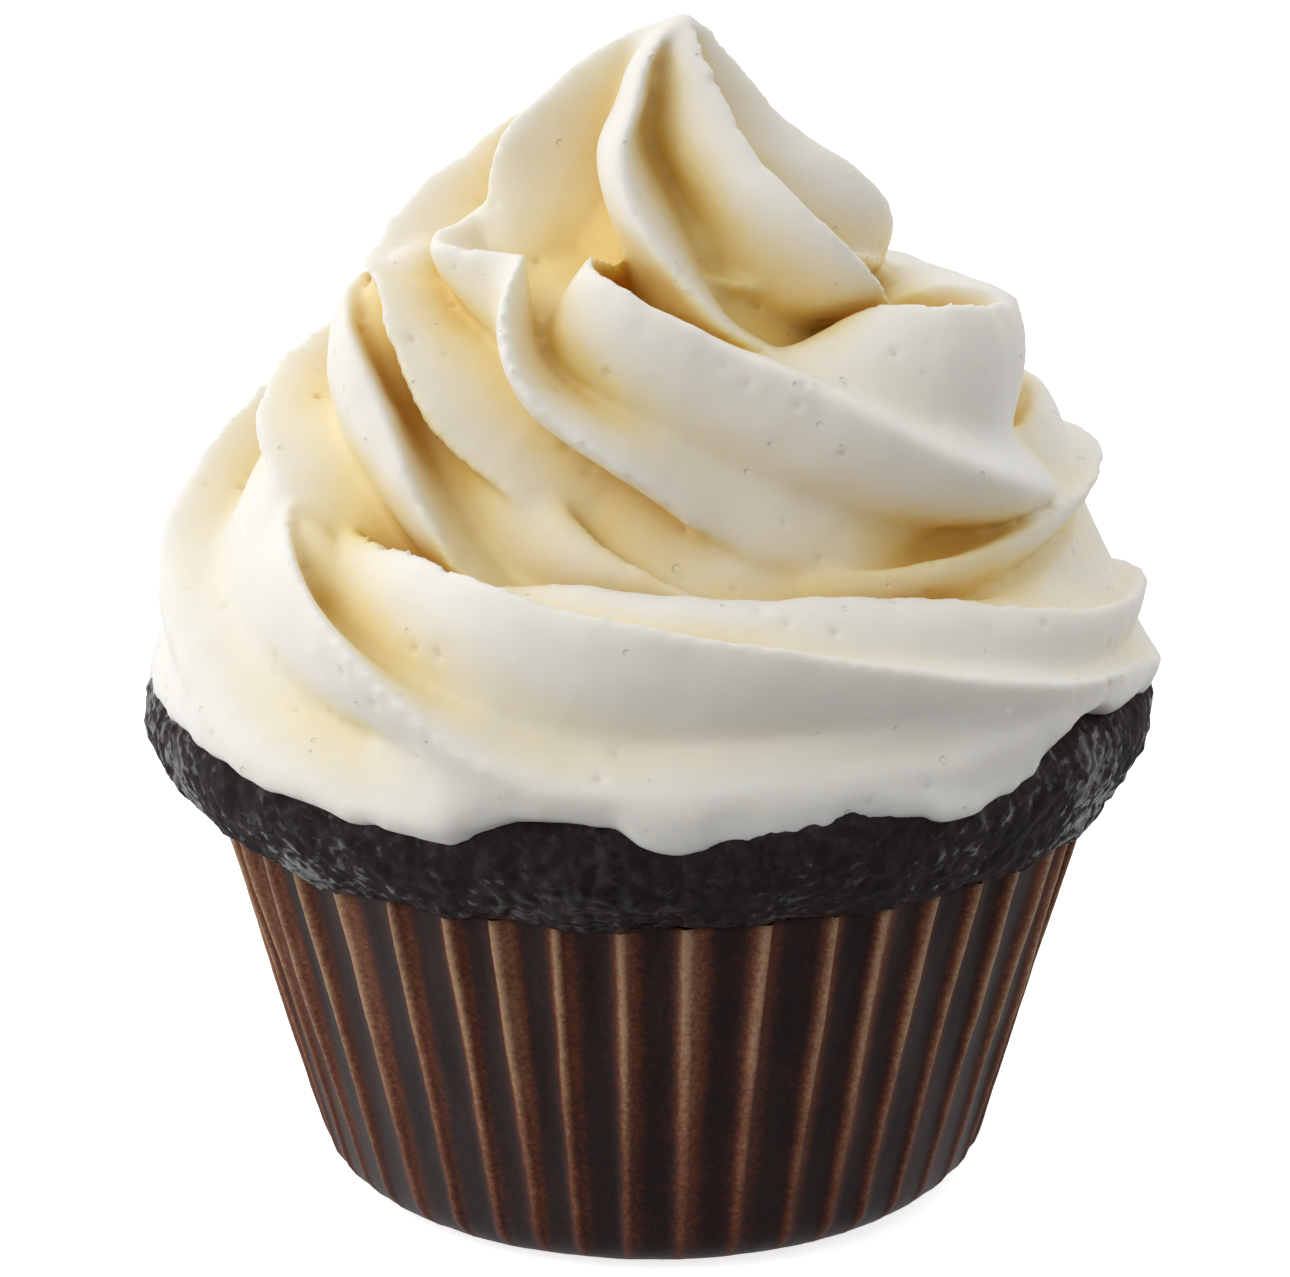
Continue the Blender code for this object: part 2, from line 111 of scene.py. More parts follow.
# Stations: turns, path radius, height, rope radius, how much taller than wide, and
# groove depth as a share of the rope radius.
ROPE_PATH = (
    (-0.25, 29.5, 44.0, 6.0, 1.00, 0.30),
    (0.00, 28.5, 44.2, 9.0, 1.10, 0.22),
    (0.125, 31.4, 44.6, 6.7, 0.76, 0.30),
    (0.25, 32.1, 45.7, 5.9, 1.45, 0.45),
    (0.375, 32.3, 44.8, 9.1, 1.22, 0.55),
    (0.50, 30.0, 45.5, 8.0, 1.37, 0.50),
    (0.75, 28.4, 49.3, 10.3, 1.29, 0.45),
    (1.00, 26.9, 55.4, 8.5, 0.51, 0.28),
    (1.25, 19.8, 46.5, 8.0, 0.85, 0.45),
    (1.375, 18.8, 49.8, 8.6, 0.95, 0.52),
    (1.50, 18.1, 58.1, 12.2, 0.97, 0.50),
    (1.625, 17.0, 56.7, 11.2, 1.15, 0.52),
    (1.75, 17.3, 58.0, 11.8, 1.04, 0.50),
    (2.00, 20.4, 60.2, 9.9, 0.90, 0.56),
    (2.125, 22.2, 59.0, 8.7, 1.30, 0.42),
    (2.25, 17.3, 62.3, 7.2, 1.39, 0.52),
    (2.375, 14.9, 64.9, 9.6, 1.07, 0.75),
    (2.50, 9.8, 68.6, 12.7, 0.51, 0.55),
    (2.75, 9.5, 71.0, 11.1, 1.01, 0.50),
    (3.00, 10.4, 70.1, 7.5, 0.75, 0.40),
    (3.15, 6.0, 71.0, 6.0, 0.80, 0.40),
    (3.30, 2.0, 71.0, 4.0, 0.80, 0.40),
)
# Torn edges of the ridges: waves a turn in radians, shift per ridge, share of radius.
RAGGED_WAVES = ((61.0, 2.1, 0.012), (137.0, 4.3, 0.010), (311.0, 1.3, 0.007))
# The first turn is pressed on the crown: its lower grooves fill and its foot spreads.
PRESSED_FILL = 0.85
PRESSED_SIDE = 0.4                  # share of that on the rope's side
PRESSED_RATE = 3.0                  # how fast it grows from the side to the underside
PRESSED_TURNS = (0.95, 0.3)         # the turn by which that ends, and over how many
REST_HEIGHT = 39.5                  # where the rope rests on the crown
REST_SQUASH = 0.35                  # what is left of any depth below that height
# Where the hem on the crown hangs or lifts: turn, over how many turns, millimetres.
HEM_WAVES = (
    (0.145, 0.018, 3.4),
    (0.205, 0.030, -1.5),
    (0.338, 0.016, 1.5),
    (0.368, 0.022, -0.7),
    (0.470, 0.045, 1.2),
    (0.600, 0.030, -1.2),
    (0.690, 0.030, 0.9),
    (0.800, 0.040, -1.0),
    (0.900, 0.030, 0.9),
)
# A thin lip that hangs from the hem at the front, with steep ends: turn, reach, drop.
HEM_LIP = (0.282, 0.033, -1.4)
# Small scallops of the hem: waves a turn in radians, shift, millimetres.
HEM_SCALLOPS = ((203.0, 0.0, 0.20), (457.0, 1.0, 0.14))
HEM_SAG = 0.15                      # how far the whole hem hangs
DROP_SPREAD = 0.5                   # how far a drooping hem stands out, per mm of drop
FOOT_TOP = 43.2                     # where the foot starts to spread
FOOT_SPREAD = 2.6
FOOT_TIGHT = (0.34, 0.11)           # the turn about which it isn't spread, and how far round
# Degrees that each ridge stands off its even place round the rope.
RIDGE_OFFSETS = (-3.0, 0.0, 0.0, 2.0, -3.0, 4.0)
# Where a ridge is dragged round the rope: ridge, turn, over how many turns, degrees.
RIDGE_BENDS = (
    (4, 0.330, 0.040, -19.8),
    (4, 0.500, 0.100, 47.5),
    (5, 0.430, 0.070, 14.6),
    (3, 1.510, 0.060, -3.0),
    (4, 1.460, 0.040, 5.5),
    (4, 1.370, 0.040, -2.7),
    (0, 0.230, 0.085, 41.1),
    (0, 2.060, 0.100, 35.6),
    (0, 2.260, 0.100, 93.3),
    (1, 2.000, 0.120, 85.0),
    (5, 2.440, 0.050, 35.0),
    (4, 2.240, 0.060, -19.1),
    (4, 2.410, 0.035, 43.9),
    (3, 2.450, 0.060, 22.3),
)
# The pulled-up peak: height, its radius on the ridges, how far it stands off the axis
# along X, how far its ridges are twisted in degrees, and its groove depth share.
PEAK_PATH = (
    (64.5, 13.5, 3.0, 46.0, 0.40),
    (66.5, 15.5, 3.1, 36.0, 0.45),
    (69.0, 16.4, 3.2, 18.0, 0.52),
    (71.8, 16.3, 3.2, 8.0, 0.58),
    (74.8, 15.5, 2.7, 0.0, 0.64),
    (77.9, 13.7, 1.3, -4.0, 0.70),
    (80.9, 11.0, -0.3, -2.0, 0.74),
    (84.0, 8.0, -0.1, 0.0, 0.74),
    (87.0, 4.8, 0.5, 0.0, 0.60),
    (88.5, 2.6, 1.5, 0.0, 0.35),
    (89.5, 0.4, 2.4, 0.0, 0.20),
)
# Where the peak's ridges stand round it, in degrees from +X.
PEAK_RIDGES = (15.0, 75.0, 130.0, 190.0, 262.0, 316.0)
# Buttercream squeezed up between two turns: turn, path radius, height, its own radius.
SQUEEZED_PATHS = (
    ((1.42, 18.5, 54.5, 2.5), (1.45, 18.8, 58.0, 3.4), (1.48, 18.9, 62.0, 3.7),
     (1.51, 18.6, 66.0, 3.6), (1.54, 18.0, 69.0, 3.0), (1.57, 16.5, 71.0, 1.5)),
    ((0.42, 29.5, 49.5, 1.5), (0.45, 30.0, 51.5, 2.6), (0.48, 29.6, 53.2, 2.8),
     (0.51, 28.6, 54.5, 2.4), (0.54, 27.0, 55.5, 1.5)),
)
# Buttercream that fills the middle of the turns: radius and height.
CORE_PROFILE = ((28.5, 37.8), (26.8, 44.0), (24.0, 50.0), (20.6, 55.0), (17.4, 60.0),
                (15.2, 64.5), (11.0, 69.0), (6.5, 73.0), (0.0, 80.0))
ROPE_RINGS = 620
ROPE_SIDES = 144
PEAK_RINGS = 90
SQUEEZED_RINGS = 40
CORE_SIDES = 90
VOXEL = 0.40
SETTLE_ROUNDS = 3
CREAM_RELIEF = (("CLOUDS", 6.0, 0.34), ("CLOUDS", 2.2, 0.14))
# Air holes: how many, which draw of random numbers, their radii, their depth per radius.
PITS = 320
PITS_DRAW = 5
PIT_RADII = (0.34, 0.56)
PIT_DEPTHS = (0.45, 0.75)
SEAT_DEPTH = 0.25                   # how far the buttercream sits into the crust
SEAT_FOOT = 0.65                    # how far the cutting crown reaches below the lip
SEAT_SIDES = 180
BUTTERCREAM_TRIANGLES = 190000
# Openness, which the buttercream's colour turns into painted shade: how far rays look for a wall,
# how many there are, rounds of evening out, and how far above the surface rays start.
OPEN_REACH = 9.0
OPEN_RAYS = 16
OPEN_ROUNDS = 8
RAY_START = 0.15

# Studio
CARD_GLOW = 0.75                    # light that the floor gives off
# Bright sides of the room: axis, where the glow starts and is full, strength.
ROOM_SIDES = (
    ("Z", -0.2, 0.7, 0.39),
    ("X", 0.2, -0.8, 0.77),
    ("X", -0.2, 0.8, 0.39),
    ("Y", -0.2, 0.8, 0.56),
)
KEY_PLACE = (-0.55, -0.45, 0.55)    # metres, as all places in the studio
KEY_AIM = (0.0, 0.0, 0.045)
KEY_WIDTH = 0.45
KEY_POWER = 1.5
FLOOR_REACH = 3.0
CAMERA_PLACE = (0.0, -0.380, 0.1566)
CAMERA_AIM = (0.0, 0.0, 0.0416)
CAMERA_SENSOR = 36.0
CAMERA_LENS = 145.95
CAMERA_SHIFT = -0.0062


# ------------------------------------------------------------------- helpers

def linear(code):
    """Linear RGBA of an sRGB hex colour."""
    channels = [int(code[i:i + 2], 16) / 255 for i in (1, 3, 5)]
    return (*[c / 12.92 if c <= 0.04045 else ((c + 0.055) / 1.055)**2.4
              for c in channels], 1.0)


def per_mm(size):
    """Texture scale that makes a pattern's features this many millimetres, in metres."""
    return 1000.0 / size


def add_node(tree, kind, settings=None, inputs=None):
    """Add a node, with its settings, and with a value or a link for each input."""
    made = tree.nodes.new(kind)
    for name, value in (settings or {}).items():
        setattr(made, name, value)
    for name, value in (inputs or {}).items():
        socket = made.inputs[name]
        if isinstance(value, bpy.types.NodeSocket):
            tree.links.new(value, socket)
        else:
            socket.default_value = value
    return made


def add_math(tree, operation, *values):
    """Add a math node that works on values or links."""
    settings = {"operation": operation}
    return add_node(tree, "ShaderNodeMath", settings, dict(enumerate(values))).outputs[0]


def add_noise(tree, place, size, detail, roughness=0.5):
    """Add a noise whose features are this many millimetres in size."""
    return add_node(tree, "ShaderNodeTexNoise", None, {
        "Vector": place, "Scale": per_mm(size), "Detail": detail,
        "Roughness": roughness}).outputs["Fac"]


def set_ramp(ramp, stops):
    """Give a colour ramp its stops: (place, hex colour)."""
    elements = ramp.color_ramp.elements
    while len(elements) > len(stops):
        elements.remove(elements[-1])
    while len(elements) < len(stops):
        elements.new(1.0)
    for element, (place, code) in zip(elements, stops):
        element.position = place
        element.color = linear(code)
    return ramp.outputs["Color"]


def new_material(name):
    """A material with an empty tree, its Principled shader and its output."""
    material = bpy.data.materials.new(name)
    material.use_nodes = True
    tree = material.node_tree
    tree.nodes.clear()
    shader = add_node(tree, "ShaderNodeBsdfPrincipled")
    add_node(tree, "ShaderNodeOutputMaterial", inputs={"Surface": shader.outputs["BSDF"]})
    return material, tree, shader


def add_object(name, mesh, material=None):
    """Put a mesh in the scene, shaded smooth."""
    thing = bpy.data.objects.new(name, mesh)
    bpy.context.scene.collection.objects.link(thing)
    if material:
        mesh.materials.append(material)
    mesh.shade_smooth()
    return thing


def apply_modifiers(thing):
    """Make the evaluated mesh the object's own, and drop its modifiers."""
    bpy.context.view_layer.update()
    shown = thing.evaluated_get(bpy.context.evaluated_depsgraph_get())
    mesh = bpy.data.meshes.new_from_object(shown)
    thing.modifiers.clear()
    thing.data = mesh
    return mesh


def get_points(mesh):
    """Vertex places of a mesh, in millimetres."""
    points = np.zeros(len(mesh.vertices) * 3, np.float32)
    mesh.vertices.foreach_get("co", points)
    return points.reshape(-1, 3).astype(float) / MM


def set_points(mesh, points):
    """Move a mesh's vertices to places in millimetres."""
    mesh.vertices.foreach_set("co", (points * MM).astype(np.float32).ravel())
    mesh.update()


def get_normals(mesh):
    """Vertex normals of a mesh."""
    normals = np.zeros(len(mesh.vertices) * 3, np.float32)
    mesh.vertex_normals.foreach_get("vector", normals)
    return normals.reshape(-1, 3).astype(float)


def set_attribute(mesh, name, values):
    """Store a number at each vertex, for the material to read."""
    attribute = mesh.attributes.new(name, "FLOAT", "POINT")
    attribute.data.foreach_set("value", np.asarray(values, np.float32))


def grid_mesh(name, rows, close_low=None, close_high=None):
    """Mesh from rings of points in millimetres, low to high, closed to end points."""
    rows = np.asarray(rows)
    count, sides = rows.shape[:2]
    points = [tuple(p) for p in (rows.reshape(-1, 3) * MM)]
    step = np.arange(sides)
    following = (step + 1) % sides
    faces = []
    for row in range(count - 1):
        low, high = row * sides, (row + 1) * sides
        faces += list(zip(low + step, low + following, high + following, high + step))
    for row, end, flip in ((0, close_low, True), (count - 1, close_high, False)):
        if end is None:
            continue
        tip = len(points)
        points.append(tuple(np.asarray(end) * MM))
        ring = row * sides
        pairs = (following, step) if flip else (step, following)
        faces += [(ring + a, ring + b, tip) for a, b in zip(*pairs)]
    mesh = bpy.data.meshes.new(name)
    mesh.from_pydata(points, [], faces)
    mesh.update()
    return mesh


def add_relief(thing, relief):
    """Raise a mesh along its normals by noises: kind, size and depth in millimetres."""
    for kind, size, depth in relief:
        texture = bpy.data.textures.new(f"{thing.name}_{kind}_{size}", kind)
        texture.noise_scale = size * MM
        if kind == "VORONOI":
            texture.noise_intensity = CELL_CONTRAST
        raised = thing.modifiers.new(f"{kind}_{size}", "DISPLACE")
        raised.texture = texture
        raised.texture_coords = "LOCAL"
        raised.strength = depth * MM
        raised.mid_level = 0.5


# ---------------------------------------------------------------- paper case

def wall_radius(height):
    """Radius of the case's plain cone at a height."""
    share = height / CASE_HEIGHT
    return CASE_FOOT_RADIUS + (CASE_TOP_RADIUS - CASE_FOOT_RADIUS) * share


def pleat_place(number):
    """Angle of a pleat's fold."""
    wander = PLEAT_WANDER * math.sin(0.7 * number) * math.cos(0.3 * number)
    return PLEAT_START + math.tau * (number + wander) / PLEATS


def pleat_columns():
    """Columns round the wall: angle, how far each stands out, its pleat, how brown it is."""
    shares = np.array(PLEAT_SHARES)
    angles, out, which, tint = [], [], [], []
    for number in range(PLEATS):
        fold = pleat_place(number)
        pitch = pleat_place(number + 1) - fold
        width = FOLD_WIDTH + FOLD_WIDTH_VARY * math.sin(1.9 * number)
        away = np.minimum(shares, 1.0 - shares) / width
        angles += list(fold + shares * pitch)
        out += list(1.0 / (1.0 + away**2.6))
        which += [number + (1 if share > 0.5 else 0) for share in shares]
        shoulder = SHOULDER_BROWN + SHOULDER_VARY * math.sin(2.3 * number)
        right = shoulder * np.exp(-(shares / SHOULDER_REACH)**4)
        left = SHOULDER_LEFT * np.exp(-((1 - shares) / SHOULDER_LEFT_REACH)**2)
        tint += list(right + left)
    out = np.array(out)
    return np.array(angles), out, np.array(which) % PLEATS, np.maximum(out, np.array(tint))


def build_case():
    """The pleated case: pressed flutes that are deep at the rim and fade at the foot."""
    angles, out, which, tint = pleat_columns()
    lean = math.atan2(CASE_TOP_RADIUS - CASE_FOOT_RADIUS, CASE_HEIGHT)
    middle = wall_radius(CASE_CORNER) - CASE_CORNER / math.cos(lean)
    profile = [(middle * share, 0.0) for share in (0.35, 0.7, 0.9)]
    for share in np.linspace(0.0, 1.0, CASE_CORNER_RINGS):
        turn = share * (math.pi / 2 - lean)
        profile.append((middle + CASE_CORNER * math.sin(turn),
                        CASE_CORNER * (1 - math.cos(turn))))
    start = profile[-1][1]
    for share in np.linspace(0.0, 1.0, CASE_WALL_RINGS)[1:]:
        height = start + (CASE_HEIGHT - start) * share
        profile.append((wall_radius(height), height))
    rows, folds = [], []
    for radius, height in profile:
        up = height / CASE_HEIGHT
        depth = PLEAT_DEPTH_FOOT + (PLEAT_DEPTH_TOP - PLEAT_DEPTH_FOOT) * up
        depth *= min(1.0, height / PLEAT_FADE)
        vary = 1.0
        for share, per_pleat, per_height in PLEAT_UNEVEN:
            vary = vary + share * np.sin(per_pleat * which + per_height * up)
        sway = FOLD_SWAY * np.sin(2.1 * which + 2.6 * up) * up
        sag = -FLUTE_SAG * up * (1.0 - out) * np.sin(5.0 * up + 1.7 * which)**2
        reach = radius + np.minimum(depth * vary, PLEAT_DEPTH_TOP) * out + sag
        turned = angles + sway * out
        rows.append(np.stack([reach * np.cos(turned), reach * np.sin(turned),
                              np.full_like(reach, height)], axis=1))
        folds.append(tint * min(1.0, BROWN_FOOT + BROWN_RISE * up))
    mesh = grid_mesh("paper_case_sheet", rows, close_low=(0.0, 0.0, 0.0))
    set_attribute(mesh, "fold", np.append(np.concatenate(folds), 0.0))
    case = add_object("pleated_case", mesh, greaseproof_paper())
    add_relief(case, CASE_RELIEF)
    sheet = case.modifiers.new("sheet", "SOLIDIFY")
    sheet.thickness = CASE_THICKNESS * MM
    sheet.offset = -1.0
    apply_modifiers(case)
    points = get_points(case.data)
    points[:, 2] = np.maximum(points[:, 2], 0.0)
    set_points(case.data, points)
    case.data.shade_smooth()
    return case


# ---------------------------------------------------------------------- cake

def crown_profile():
    """Crown from under its lip, round the widest ring, to the top of the dome."""
    lip = LIP_HEIGHT
    return np.array([
        (CASE_TOP_RADIUS - 0.6, lip - 0.4),
        (CASE_TOP_RADIUS + PLEAT_DEPTH_TOP, lip),
        (0.912 * CROWN_RADIUS, lip + 0.9),
        (0.957 * CROWN_RADIUS, lip + 2.7),
        (0.990 * CROWN_RADIUS, lip + 5.0),
        (CROWN_RADIUS, CROWN_RIM_HEIGHT),
        (0.985 * CROWN_RADIUS, CROWN_RIM_HEIGHT + 2.0),
        (0.93 * CROWN_RADIUS, CROWN_RIM_HEIGHT + 3.4),
        (0.76 * CROWN_RADIUS, DOME_HEIGHT - 2.2),
        (0.40 * CROWN_RADIUS, DOME_HEIGHT - 0.5),
        (0.05, DOME_HEIGHT),
    ])


def along_profile(profile, spacing):
    """Points along a smooth curve through a profile, at most this far apart."""
    steps = np.hypot(*np.diff(profile, axis=0).T)
    travelled = np.concatenate([[0.0], np.cumsum(steps)])
    fine = np.linspace(0.0, travelled[-1], max(3, int(travelled[-1] / spacing)))
    return np.stack([smooth_between(fine, travelled, profile[:, axis]) for axis in (0, 1)], axis=1)


def uneven_crown(points, lowest):
    """Let the crown swell and sink a little on its way round, as a baked one does."""
    radius = np.hypot(points[:, 0], points[:, 1])
    angle = np.arctan2(points[:, 1], points[:, 0])
    swell = CROWN_UNEVEN * sum(share * np.sin(count * angle + shift)
                               for share, count, shift in CROWN_SWELLS)
    rise = np.clip((points[:, 2] - lowest) / 3.0, 0.0, 1.0) * (radius > 0.01)
    moved = points.copy()
    moved[:, 0] += rise * (CROWN_SHIFT + swell * radius / CROWN_RADIUS * np.cos(angle))
    moved[:, 1] += rise * swell * radius / CROWN_RADIUS * np.sin(angle)
    return moved


def turned_mesh(name, profile, sides, foot):
    """Turn a profile of (radius, height) into a closed mesh on a flat foot."""
    around = np.linspace(0.0, math.tau, sides, endpoint=False)
    rows = [np.stack([radius * np.cos(around), radius * np.sin(around),
                      np.full(sides, height)], axis=1) for radius, height in profile]
    return grid_mesh(name, rows, close_low=(0.0, 0.0, foot), close_high=(0.0, 0.0, profile[-1][1]))


def build_cake():
    """The sponge: its crown rises over the paper's rim, with a lumpy, cracked crust."""
    crown = crown_profile()
    shown = along_profile(crown[:9], CRUST_SPACING)
    covered = along_profile(crown[8:], COVERED_SPACING)[1:]
    foot = np.array([(wall_radius(level) - inset, height) for level, inset, height in CAKE_FOOT])
    profile = np.concatenate([foot, shown, covered])
    mesh = turned_mesh("sponge", profile, CAKE_SIDES, profile[0, 1])
    points = uneven_crown(get_points(mesh), LIP_HEIGHT + 0.3)
    angle = np.arctan2(points[:, 1], points[:, 0])
    near_lip = np.exp(-((points[:, 2] - LIP_HEIGHT - 0.4) / 1.3)**2) * (points[:, 2] > 28.5)
    droop = 0.5 + 0.5 * np.sin(7 * angle + 1.0) * np.sin(3 * angle) + 0.4 * np.sin(19 * angle + 2.0)
    points[:, 2] -= near_lip * LIP_DROOP * np.clip(droop, 0.0, 1.3)
    set_points(mesh, points)
    cake = add_object("chocolate_cake", mesh, chocolate_sponge())
    add_relief(cake, CRUST_RELIEF)
    apply_modifiers(cake)
    points = get_points(cake.data)
    inside = points[:, 2] < LIP_HEIGHT - 1.4
    limit = wall_radius(points[:, 2]) - CAKE_INSET
    radius = np.maximum(np.hypot(points[:, 0], points[:, 1]), 1e-6)
    shrink = np.where(inside, np.minimum(1.0, limit / radius), 1.0)
    points[:, :2] *= shrink[:, None]
    set_points(cake.data, points)
    cake.data.shade_smooth()
    return cake


# --------------------------------------------------------------- buttercream

def smooth_between(places, stations, values):
    """Hermite curve through a value given at each station."""
    slopes = np.gradient(values, stations)
    left = np.clip(np.searchsorted(stations, places) - 1, 0, len(stations) - 2)
    span = stations[left + 1] - stations[left]
    s = (places - stations[left]) / span
    return ((2 * s**3 - 3 * s**2 + 1) * values[left]
            + (s**3 - 2 * s**2 + s) * span * slopes[left]
            + (3 * s**2 - 2 * s**3) * values[left + 1]
            + (s**3 - s**2) * span * slopes[left + 1])


def ridge_places(turns):
    """Angle of each ridge round the rope: one twist a turn, with its own wander."""
    places = []
    for number, offset in enumerate(RIDGE_OFFSETS):
        place = math.tau * (turns + number / STAR_TEETH) + math.radians(offset)
        for ridge, turn, reach, degrees in RIDGE_BENDS:
            if ridge == number:
                place = place + math.radians(degrees) * np.exp(-((turns - turn) / reach)**2)
        places.append(place)
    places.append(places[0] + math.tau)
    return places


def star_height(around, places):
    """How near each point of a ring is to a ridge, 1 on it and 0 in a groove, and which."""
    height = np.zeros((len(places[0]), len(around)))
    ridge = np.zeros((len(places[0]), len(around)))
    for number in range(STAR_TEETH):
        first = places[number][:, None]
        width = places[number + 1][:, None] - first
        share = np.mod(around[None] - first, math.tau) / width
        rise = 1.0 - np.abs(np.sin(math.pi * np.clip(share, 0.0, 1.0)))**STAR_POINT
        here = share <= 1.0
        height = np.where(here, rise, height)
        ridge = np.where(here, number + (share > 0.5), ridge)
    return height, np.mod(ridge, STAR_TEETH)


def press_down(rings, turns, first):
    """Squash the rope on the crown down to its uneven hem, and spread its foot."""
    wave = sum(rise * np.exp(-((turns - turn) / reach)**2) for turn, reach, rise in HEM_WAVES)
    wave += HEM_LIP[2] * np.exp(-((turns - HEM_LIP[0]) / HEM_LIP[1])**8)
    scallops = sum(rise * np.sin(rate * turns + shift) for rate, shift, rise in HEM_SCALLOPS)
    wave += scallops - HEM_SAG
    hem = REST_HEIGHT + np.maximum(wave, 0.0)
    below = np.maximum(hem[:, None] - rings[..., 2], 0.0)
    rings[..., 2] += (1.0 - REST_SQUASH) * below
    foot = np.clip((FOOT_TOP - rings[..., 2]) / (FOOT_TOP - REST_HEIGHT), 0.0, 1.0)
    side = first[:, 0] * (1.0 - np.exp(-((turns - FOOT_TIGHT[0]) / FOOT_TIGHT[1])**2))
    drop = np.minimum(wave, 0.0)[:, None] * foot * np.sign(first)
    spread = FOOT_SPREAD * side[:, None] * foot - DROP_SPREAD * drop
    rings[..., :2] *= (1.0 + spread / np.hypot(rings[..., 0], rings[..., 1]))[..., None]
    rings[..., 2] += drop


def rope_rings():
    """Rings of points along the rope, and the ends of its centre line.

    The nozzle is held still while it is led round, so the star stays put as the
    path turns: seen from the rope, its ridges wind once round it in every turn.
    """
    table = np.array(ROPE_PATH)
    stations = table[:, 0]
    turns = np.linspace(stations[0], stations[-1], ROPE_RINGS)
    radius, height, size, tall, depth = (
        smooth_between(turns, stations, table[:, column]) for column in (1, 2, 3, 4, 5))
    angle = ROPE_START - math.tau * turns
    centre = np.stack([radius * np.cos(angle), radius * np.sin(angle), height], axis=1)
    along = np.gradient(centre, axis=0)
    along /= np.linalg.norm(along, axis=1)[:, None]
    out = np.stack([np.cos(angle), np.sin(angle), 0.0 * angle], axis=1)
    out -= (out * along).sum(axis=1)[:, None] * along
    out /= np.linalg.norm(out, axis=1)[:, None]
    up = np.cross(along, out)
    around = np.linspace(0.0, math.tau, ROPE_SIDES, endpoint=False)
    star, ridge = star_height(around, ridge_places(turns))
    first = np.clip((PRESSED_TURNS[0] - turns) / PRESSED_TURNS[1], 0.0, 1.0)[:, None]
    lower = np.clip(PRESSED_SIDE - PRESSED_RATE * np.sin(around[None]), 0.0, 1.0)
    fill = PRESSED_FILL * first * lower
    ragged = star**3 * sum(share * np.sin(rate * turns[:, None] + shift * ridge)
                           for rate, shift, share in RAGGED_WAVES)
    reach = size[:, None] * (1.0 - depth[:, None] * (1.0 - fill) * (1.0 - star) + ragged)
    bent = around[None] + RIDGE_LEAN * (star - 1.0)
    rings = (centre[:, None]
             + (reach * np.cos(bent))[..., None] * out[:, None]
             + (reach * tall[:, None] * np.sin(bent))[..., None] * up[:, None])
    press_down(rings, turns, first)
    return rings, centre[[0, -1]]


def peak_rings():
    """Rings of points up the peak, where the nozzle is drawn up off the last turn."""
    table = np.array(PEAK_PATH)
    levels = np.linspace(table[0, 0], table[-1, 0], PEAK_RINGS)
    size, off, twist, depth = (
        smooth_between(levels, table[:, 0], table[:, column]) for column in (1, 2, 3, 4))
    places = [np.radians(ridge + twist) for ridge in PEAK_RIDGES]
    places.append(places[0] + math.tau)
    around = np.linspace(0.0, math.tau, ROPE_SIDES, endpoint=False)
    star = star_height(around, places)[0]
    reach = size[:, None] * (1.0 - depth[:, None] * (1.0 - star))
    bent = around[None] + RIDGE_LEAN * (star - 1.0)
    level = np.repeat(levels[:, None], ROPE_SIDES, axis=1)
    rings = np.stack([off[:, None] + reach * np.cos(bent), reach * np.sin(bent), level], axis=2)
    ends = [(off[end], 0.0, levels[end]) for end in (0, -1)]
    return rings, ends


def squeezed_rings(path):
    """Rings of points along one strand that is squeezed up between two turns."""
    table = np.array(path)
    turns = np.linspace(table[0, 0], table[-1, 0], SQUEEZED_RINGS)
    radius, height, size = (
        smooth_between(turns, table[:, 0], table[:, column]) for column in (1, 2, 3))
    angle = ROPE_START - math.tau * turns[:, None]
    around = np.linspace(0.0, math.tau, ROPE_SIDES, endpoint=False)[None]
    reach = radius[:, None] + size[:, None] * np.cos(around)
    level = height[:, None] + size[:, None] * np.sin(around)
    rings = np.stack([reach * np.cos(angle), reach * np.sin(angle), level], axis=2)
    ends = rings[[0, -1]].mean(axis=1)
    return rings, ends


def add_pits(points, normals):
    """Press small air holes into the surface."""
    chosen = np.random.default_rng(PITS_DRAW)
    tree = KDTree(len(points))
    for index, point in enumerate(points):
        tree.insert(point, index)
    tree.balance()
    moved = points.copy()
    for index in chosen.integers(0, len(points), PITS):
        size = chosen.uniform(*PIT_RADII)
        depth = size * chosen.uniform(*PIT_DEPTHS)
        for _, near, distance in tree.find_range(points[index], size):
            moved[near] -= normals[near] * depth * (1.0 - (distance / size)**2)**1.5
    return moved


def openness(mesh, rays):
    """Share of the directions out of each vertex that meet nothing near it."""
    points = get_points(mesh) * MM
    normals = get_normals(mesh)
    solid = BVHTree.FromPolygons(
        [tuple(p) for p in points], [tuple(f.vertices) for f in mesh.polygons])
    spread = []
    for number in range(rays):
        height = (number + 0.5) / rays
        turn = number * math.pi * (3.0 - math.sqrt(5.0))
        wide = math.sqrt(1.0 - height * height)
        spread.append((wide * math.cos(turn), wide * math.sin(turn), height))
    free = np.zeros(len(points))
    for index, (point, normal) in enumerate(zip(points, normals)):
        facing = Vector(normal)
        turn = facing.to_track_quat("Z", "Y")
        start = Vector(point) + facing * RAY_START * MM
        hits = 0
        for direction in spread:
            if solid.ray_cast(start, turn @ Vector(direction), OPEN_REACH * MM)[0] is None:
                hits += 1
        free[index] = hits / rays
    return free


def even_out(mesh, values):
    """Even out numbers held at the vertices, over their neighbours."""
    ends = np.zeros(len(mesh.edges) * 2, np.int32)
    mesh.edges.foreach_get("vertices", ends)
    first, second = ends.reshape(-1, 2).T
    count = len(mesh.vertices)
    near = 1.0 + np.bincount(first, minlength=count) + np.bincount(second, minlength=count)
    for _ in range(OPEN_ROUNDS):
        values = (values + np.bincount(first, values[second], count)
                  + np.bincount(second, values[first], count)) / near
    return values


